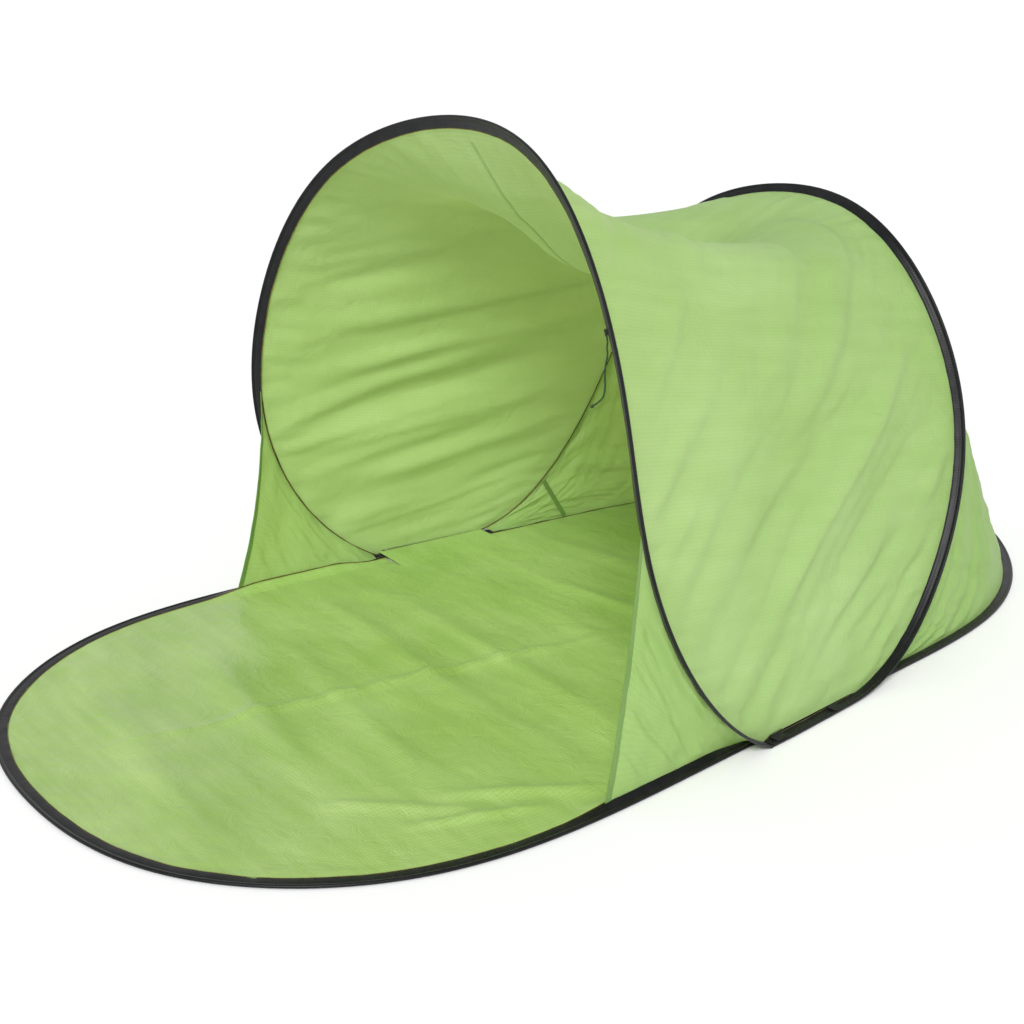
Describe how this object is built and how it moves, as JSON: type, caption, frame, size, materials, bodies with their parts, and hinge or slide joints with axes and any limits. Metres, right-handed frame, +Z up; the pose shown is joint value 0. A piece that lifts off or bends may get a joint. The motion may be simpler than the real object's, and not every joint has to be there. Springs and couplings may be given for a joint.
{
  "type": "pop up tent",
  "caption": "Pop-up beach tent: saddle-shaped canopy over a long oval groundsheet, held open by sprung wire hoops in dark binding tape, with side skirts, closed rear wall and open front mat.",
  "frame": {"origin": "on the ground at the centre of the groundsheet's outline", "axes": "+Y towards the closed rear wall, -Y towards the open mat end, +Z up, +X the user's left when looking out of the open end; the part mirrors across X = 0 except for one strap and the tie cord"},
  "size_m": [1.16, 2.222, 0.9511],
  "materials": {
    "binding_tape": "plain woven nylon tape, soft satin sheen",
    "spring_steel": "bare drawn wire, satin",
    "ferrule": "crimped tube, satin",
    "canopy_fabric": "thin plain woven polyester, soft sheen",
    "groundsheet_fabric": "coated woven polyester, soft sheen",
    "wall_fabric": "thin plain woven polyester, crinkled, soft sheen",
    "hem_tape": "folded hem and narrow webbing, matt",
    "webbing": "narrow ribbed webbing, matt",
    "cord": "soft twisted cord, matt"
  },
  "bodies": {
    "rear_frame": {"rear_arch_binding": "binding_tape", "rear_arch_wire_right": "spring_steel", "rear_arch_wire_left": "spring_steel", "canopy_ferrule": "ferrule", "side_floor_binding_right": "binding_tape", "side_floor_binding_left": "binding_tape", "side_floor_wire_right": "spring_steel", "side_floor_wire_left": "spring_steel", "groundsheet_middle": "groundsheet_fabric", "front_tack_right": "webbing", "front_tack_left": "webbing", "rear_tack_right": "webbing", "rear_tack_left": "webbing", "canopy_panel_right": "canopy_fabric", "canopy_panel_left": "canopy_fabric", "ridge_seam": "canopy_fabric", "rear_wall_right": "wall_fabric", "rear_wall_left": "wall_fabric", "rear_strap": "hem_tape"},
    "front_arch": {"front_arch_binding": "binding_tape", "front_arch_wire": "spring_steel", "skirt_right": "wall_fabric", "skirt_left": "wall_fabric", "skirt_hem_right": "hem_tape", "skirt_hem_left": "hem_tape", "cord_loop": "webbing", "tie_cord": "cord", "cord_knot": "cord"},
    "front_mat": {"front_floor_binding": "binding_tape", "front_floor_wire": "spring_steel", "groundsheet_front": "groundsheet_fabric"},
    "rear_floor": {"rear_floor_binding": "binding_tape", "rear_floor_wire_right": "spring_steel", "rear_floor_wire_left": "spring_steel", "floor_ferrule": "ferrule", "groundsheet_rear": "groundsheet_fabric"}
  },
  "joints": [
    {"name": "canopy_fold", "type": "hinge", "parent": "rear_frame", "child": "front_arch", "pos_m": [0, -0.12, 0.0005], "axis": [-1, 0, 0], "range_deg": [0, 46], "stiffness_Nm_per_rad": 4, "springref_deg": -34.38, "deforming": ["canopy_panel_right", "canopy_panel_left", "ridge_seam"]},
    {"name": "front_mat_fold", "type": "hinge", "parent": "front_arch", "child": "front_mat", "pos_m": [0, -0.12, 0.0005], "axis": [-1, 0, 0], "range_deg": [0, 36], "stiffness_Nm_per_rad": 4, "springref_deg": -34.38, "deforming": ["skirt_right", "skirt_left", "skirt_hem_right", "skirt_hem_left"]},
    {"name": "rear_floor_fold", "type": "hinge", "parent": "rear_frame", "child": "rear_floor", "pos_m": [0, 0.14, 0.0005], "axis": [1, 0, 0], "range_deg": [0, 22], "stiffness_Nm_per_rad": 4, "springref_deg": -34.38, "deforming": ["rear_wall_right", "rear_wall_left", "rear_strap"]}
  ]
}
